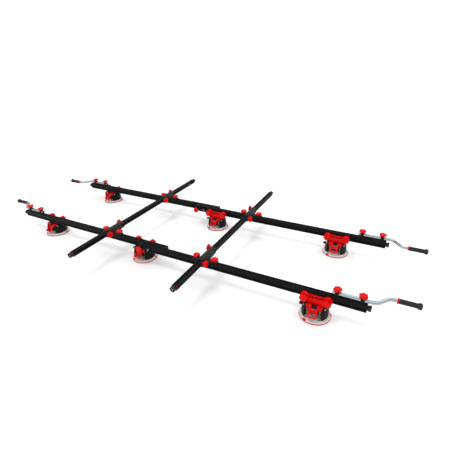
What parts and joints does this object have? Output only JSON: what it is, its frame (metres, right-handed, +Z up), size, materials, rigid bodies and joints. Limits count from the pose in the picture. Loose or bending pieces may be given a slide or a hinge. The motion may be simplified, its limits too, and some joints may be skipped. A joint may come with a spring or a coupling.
{
  "type": "slab carrying frame with suction cups",
  "caption": "Telescopic carrying frame for large thin slabs, with lever suction cups, two cross bars and cranked handles.",
  "frame": {"origin": "middle of the footprint of the whole frame, on the slab plane that the cup rims stand on", "axes": "+X along the rails, +Y across them away from the lever side, +Z up from the slab"},
  "size_m": [2.848, 1.318, 0.1785],
  "materials": {
    "black_aluminium": "black anodised, satin",
    "black_plastic": "fine moulded texture",
    "red_plastic": "satin moulded",
    "grey_plastic": "satin",
    "rubber": "matt",
    "zinc_tube": "zinc plated"
  },
  "bodies": {
    "left_frame": {"rail_front_left": "black_aluminium", "rail_back_left": "black_aluminium", "handle_straps_left": "black_plastic", "strap_knobs_left": "red_plastic", "rail_end_plates": "red_plastic", "rail_bumpers_left": "rubber"},
    "left_bar": {"cross_bar_left": "black_aluminium", "bar_stops_left": "rubber", "saddles_left": "black_plastic", "saddle_knobs_left": "red_plastic"},
    "right_frame": {"rail_front_right": "black_aluminium", "rail_back_right": "black_aluminium", "handle_straps_right": "black_plastic", "strap_knobs_right": "red_plastic", "rail_bumpers_right": "rubber", "telescope_clamps": "black_plastic"},
    "right_bar": {"cross_bar_right": "black_aluminium", "bar_stops_right": "rubber", "saddles_right": "black_plastic", "saddle_knobs_right": "red_plastic"},
    "telescope_knob_front": {"telescope_knob_front": "red_plastic"},
    "telescope_knob_back": {"telescope_knob_back": "red_plastic"},
    "handle_front_left": {"handle_tube_front_left": "zinc_tube", "handle_grip_front_left": "rubber"},
    "handle_back_left": {"handle_tube_back_left": "zinc_tube", "handle_grip_back_left": "rubber"},
    "handle_front_right": {"handle_tube_front_right": "zinc_tube", "handle_grip_front_right": "rubber"},
    "handle_back_right": {"handle_tube_back_right": "zinc_tube", "handle_grip_back_right": "rubber"},
    "cup_front_right": {"cup_front_right_disc": "grey_plastic", "cup_front_right_body": "black_plastic", "cup_front_right_bracket": "red_plastic", "cup_front_right_knobs": "red_plastic"},
    "lever_front_right": {"cup_front_right_lever": "red_plastic"},
    "cup_back_right": {"cup_back_right_disc": "grey_plastic", "cup_back_right_body": "black_plastic", "cup_back_right_bracket": "red_plastic", "cup_back_right_knobs": "red_plastic"},
    "lever_back_right": {"cup_back_right_lever": "red_plastic"},
    "cup_back_middle": {"cup_back_middle_disc": "grey_plastic", "cup_back_middle_body": "black_plastic", "cup_back_middle_bracket": "red_plastic", "cup_back_middle_knobs": "red_plastic"},
    "lever_back_middle": {"cup_back_middle_lever": "red_plastic"},
    "cup_front_middle": {"cup_front_middle_disc": "grey_plastic", "cup_front_middle_body": "black_plastic", "cup_front_middle_bracket": "red_plastic", "cup_front_middle_knobs": "red_plastic"},
    "lever_front_middle": {"cup_front_middle_lever": "red_plastic"},
    "cup_front_left": {"cup_front_left_disc": "grey_plastic", "cup_front_left_body": "black_plastic", "cup_front_left_bracket": "red_plastic", "cup_front_left_knobs": "red_plastic"},
    "lever_front_left": {"cup_front_left_lever": "red_plastic"},
    "cup_back_left": {"cup_back_left_disc": "grey_plastic", "cup_back_left_body": "black_plastic", "cup_back_left_bracket": "red_plastic", "cup_back_left_knobs": "red_plastic"},
    "lever_back_left": {"cup_back_left_lever": "red_plastic"}
  },
  "joints": [
    {"name": "telescope", "type": "slide", "parent": "left_frame", "child": "right_frame", "axis": [1, 0, 0], "range_m": [-0.3, 0.08]},
    {"name": "left_bar_shift", "type": "slide", "parent": "left_frame", "child": "left_bar", "axis": [1, 0, 0], "range_m": [-0.15, 0.05]},
    {"name": "right_bar_shift", "type": "slide", "parent": "right_frame", "child": "right_bar", "axis": [1, 0, 0], "range_m": [-0.08, 0.15]},
    {"name": "telescope_knob_front_turn", "type": "hinge", "parent": "right_frame", "child": "telescope_knob_front", "pos_m": [-0.1065, -0.375, 0.106], "axis": [0, -1, 0], "continuous": true},
    {"name": "telescope_knob_back_turn", "type": "hinge", "parent": "right_frame", "child": "telescope_knob_back", "pos_m": [-0.0875, 0.243, 0.106], "axis": [0, -1, 0], "continuous": true},
    {"name": "handle_front_left_swing", "type": "hinge", "parent": "left_frame", "child": "handle_front_left", "pos_m": [-1.1255, -0.3164, 0.15], "axis": [1, 0, 0], "range_deg": [-45, 170]},
    {"name": "handle_back_left_swing", "type": "hinge", "parent": "left_frame", "child": "handle_back_left", "pos_m": [-1.1065, 0.3016, 0.15], "axis": [-1, 0, 0], "range_deg": [-45, 170]},
    {"name": "handle_front_right_swing", "type": "hinge", "parent": "right_frame", "child": "handle_front_right", "pos_m": [1.1155, -0.345, 0.15], "axis": [1, 0, 0], "range_deg": [-80, 170]},
    {"name": "handle_back_right_swing", "type": "hinge", "parent": "right_frame", "child": "handle_back_right", "pos_m": [1.1345, 0.273, 0.15], "axis": [-1, 0, 0], "range_deg": [-80, 170]},
    {"name": "cup_front_right_shift", "type": "slide", "parent": "right_frame", "child": "cup_front_right", "axis": [1, 0, 0], "range_m": [-0.25, 0.12]},
    {"name": "lever_front_right_lift", "type": "hinge", "parent": "cup_front_right", "child": "lever_front_right", "pos_m": [0.97, -0.391, 0.071], "axis": [-1, 0, 0], "range_deg": [0, 62]},
    {"name": "cup_back_right_shift", "type": "slide", "parent": "right_frame", "child": "cup_back_right", "axis": [1, 0, 0], "range_m": [-0.25, 0.15]},
    {"name": "lever_back_right_lift", "type": "hinge", "parent": "cup_back_right", "child": "lever_back_right", "pos_m": [0.937, 0.227, 0.071], "axis": [-1, 0, 0], "range_deg": [0, 62]},
    {"name": "cup_back_middle_shift", "type": "slide", "parent": "right_frame", "child": "cup_back_middle", "axis": [1, 0, 0], "range_m": [-0.01, 0.07]},
    {"name": "lever_back_middle_lift", "type": "hinge", "parent": "cup_back_middle", "child": "lever_back_middle", "pos_m": [0.082, 0.227, 0.071], "axis": [-1, 0, 0], "range_deg": [0, 62]},
    {"name": "cup_front_middle_shift", "type": "slide", "parent": "left_frame", "child": "cup_front_middle", "axis": [1, 0, 0], "range_m": [-0.07, 0.08]},
    {"name": "lever_front_middle_lift", "type": "hinge", "parent": "cup_front_middle", "child": "lever_front_middle", "pos_m": [-0.14, -0.3304, 0.071], "axis": [-1, 0, 0], "range_deg": [0, 42]},
    {"name": "cup_front_left_shift", "type": "slide", "parent": "left_frame", "child": "cup_front_left", "axis": [1, 0, 0], "range_m": [-0.15, 0.25]},
    {"name": "lever_front_left_lift", "type": "hinge", "parent": "cup_front_left", "child": "lever_front_left", "pos_m": [-0.962, -0.3304, 0.071], "axis": [-1, 0, 0], "range_deg": [0, 62]},
    {"name": "cup_back_left_shift", "type": "slide", "parent": "left_frame", "child": "cup_back_left", "axis": [1, 0, 0], "range_m": [-0.1, 0.3]},
    {"name": "lever_back_left_lift", "type": "hinge", "parent": "cup_back_left", "child": "lever_back_left", "pos_m": [-1.007, 0.2876, 0.071], "axis": [-1, 0, 0], "range_deg": [0, 62]}
  ]
}
